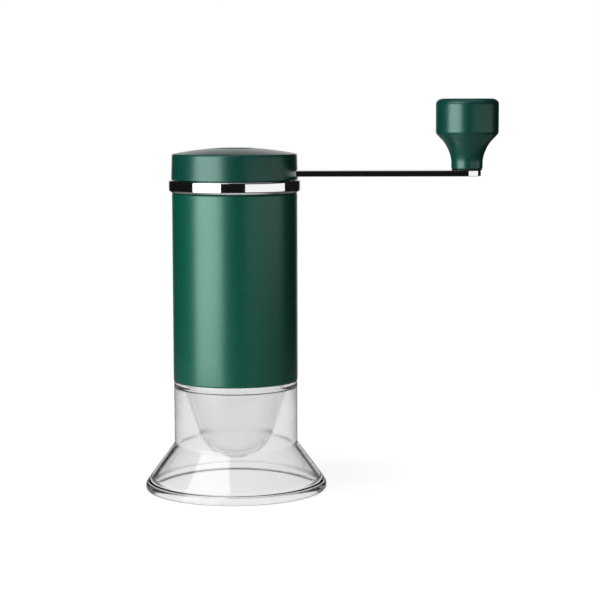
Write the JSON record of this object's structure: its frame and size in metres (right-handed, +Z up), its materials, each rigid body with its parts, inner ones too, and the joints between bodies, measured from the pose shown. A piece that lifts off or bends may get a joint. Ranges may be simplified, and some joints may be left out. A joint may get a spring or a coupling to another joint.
{
  "type": "hand crank coffee grinder",
  "caption": "Upright hand mill: clear flared base with an inner cup, painted tube with a bright ring, domed cap with a side crank arm and a flared turning knob.",
  "frame": {"origin": "centre of the foot ring's underside, on the mill's axis, on the surface it stands on", "axes": "+Z up along the mill's axis, +X along the crank arm towards the knob at rest"},
  "size_m": [0.1642, 0.0848, 0.1815],
  "materials": {
    "clear": "clear polished",
    "green_paint": "satin metallic",
    "green_plastic": "satin metallic",
    "chrome": "polished",
    "steel": "fine turned",
    "dark_plastic": "matte",
    "ceramic": "matte fired",
    "bronze": "turned",
    "rubber": "matte"
  },
  "bodies": {
    "base": {"clear_base": "clear", "grounds_cup": "clear", "seal_ring": "rubber"},
    "body": {"body_tube": "green_paint", "chrome_ring": "chrome", "hopper_liner": "dark_plastic", "upper_bridge": "dark_plastic", "upper_bush": "bronze", "burr_housing": "dark_plastic", "lower_bush": "bronze", "outer_burr": "ceramic", "burr_clamp": "dark_plastic", "clamp_screws": "steel"},
    "rotor": {"drive_shaft": "steel", "thrust_washer": "steel", "shaft_clips": "steel", "spring_washer": "steel", "burr_spring": "steel"},
    "inner_burr": {"inner_burr": "ceramic", "burr_core": "dark_plastic"},
    "adjust_nut": {"adjust_nut": "dark_plastic"},
    "crank": {"cap_shell": "green_plastic", "cap_plug": "green_plastic", "cap_screw": "steel", "crank_arm": "chrome", "drive_hub": "steel", "knob_pin": "steel", "knob_washer": "dark_plastic"},
    "knob": {"knob_body": "green_plastic", "knob_cap": "green_plastic", "knob_bush": "bronze"}
  },
  "joints": [
    {"name": "body_lift", "type": "slide", "parent": "base", "child": "body", "axis": [0, 0, 1], "range_m": [0, 0.04]},
    {"name": "crank_spin", "type": "hinge", "parent": "body", "child": "rotor", "pos_m": [0, 0, 0.14], "axis": [0, 0, 1], "continuous": true},
    {"name": "lid_lift", "type": "slide", "parent": "rotor", "child": "crank", "axis": [0, 0, 1], "range_m": [0, 0.03]},
    {"name": "knob_spin", "type": "hinge", "parent": "crank", "child": "knob", "pos_m": [0.1073, 0, 0.148], "axis": [0, 0, 1], "continuous": true},
    {"name": "burr_slide", "type": "slide", "parent": "rotor", "child": "inner_burr", "axis": [0, 0, 1], "range_m": [-0.00125, 0.00075], "deforming": ["burr_spring"]},
    {"name": "nut_turn", "type": "hinge", "parent": "inner_burr", "child": "adjust_nut", "pos_m": [0, 0, 0.0576], "axis": [0, 0, 1], "range_deg": [-451, 271]}
  ],
  "couplings": [
    {"joint": "nut_turn", "follows": "burr_slide", "rad_per_m": 6283.2}
  ]
}
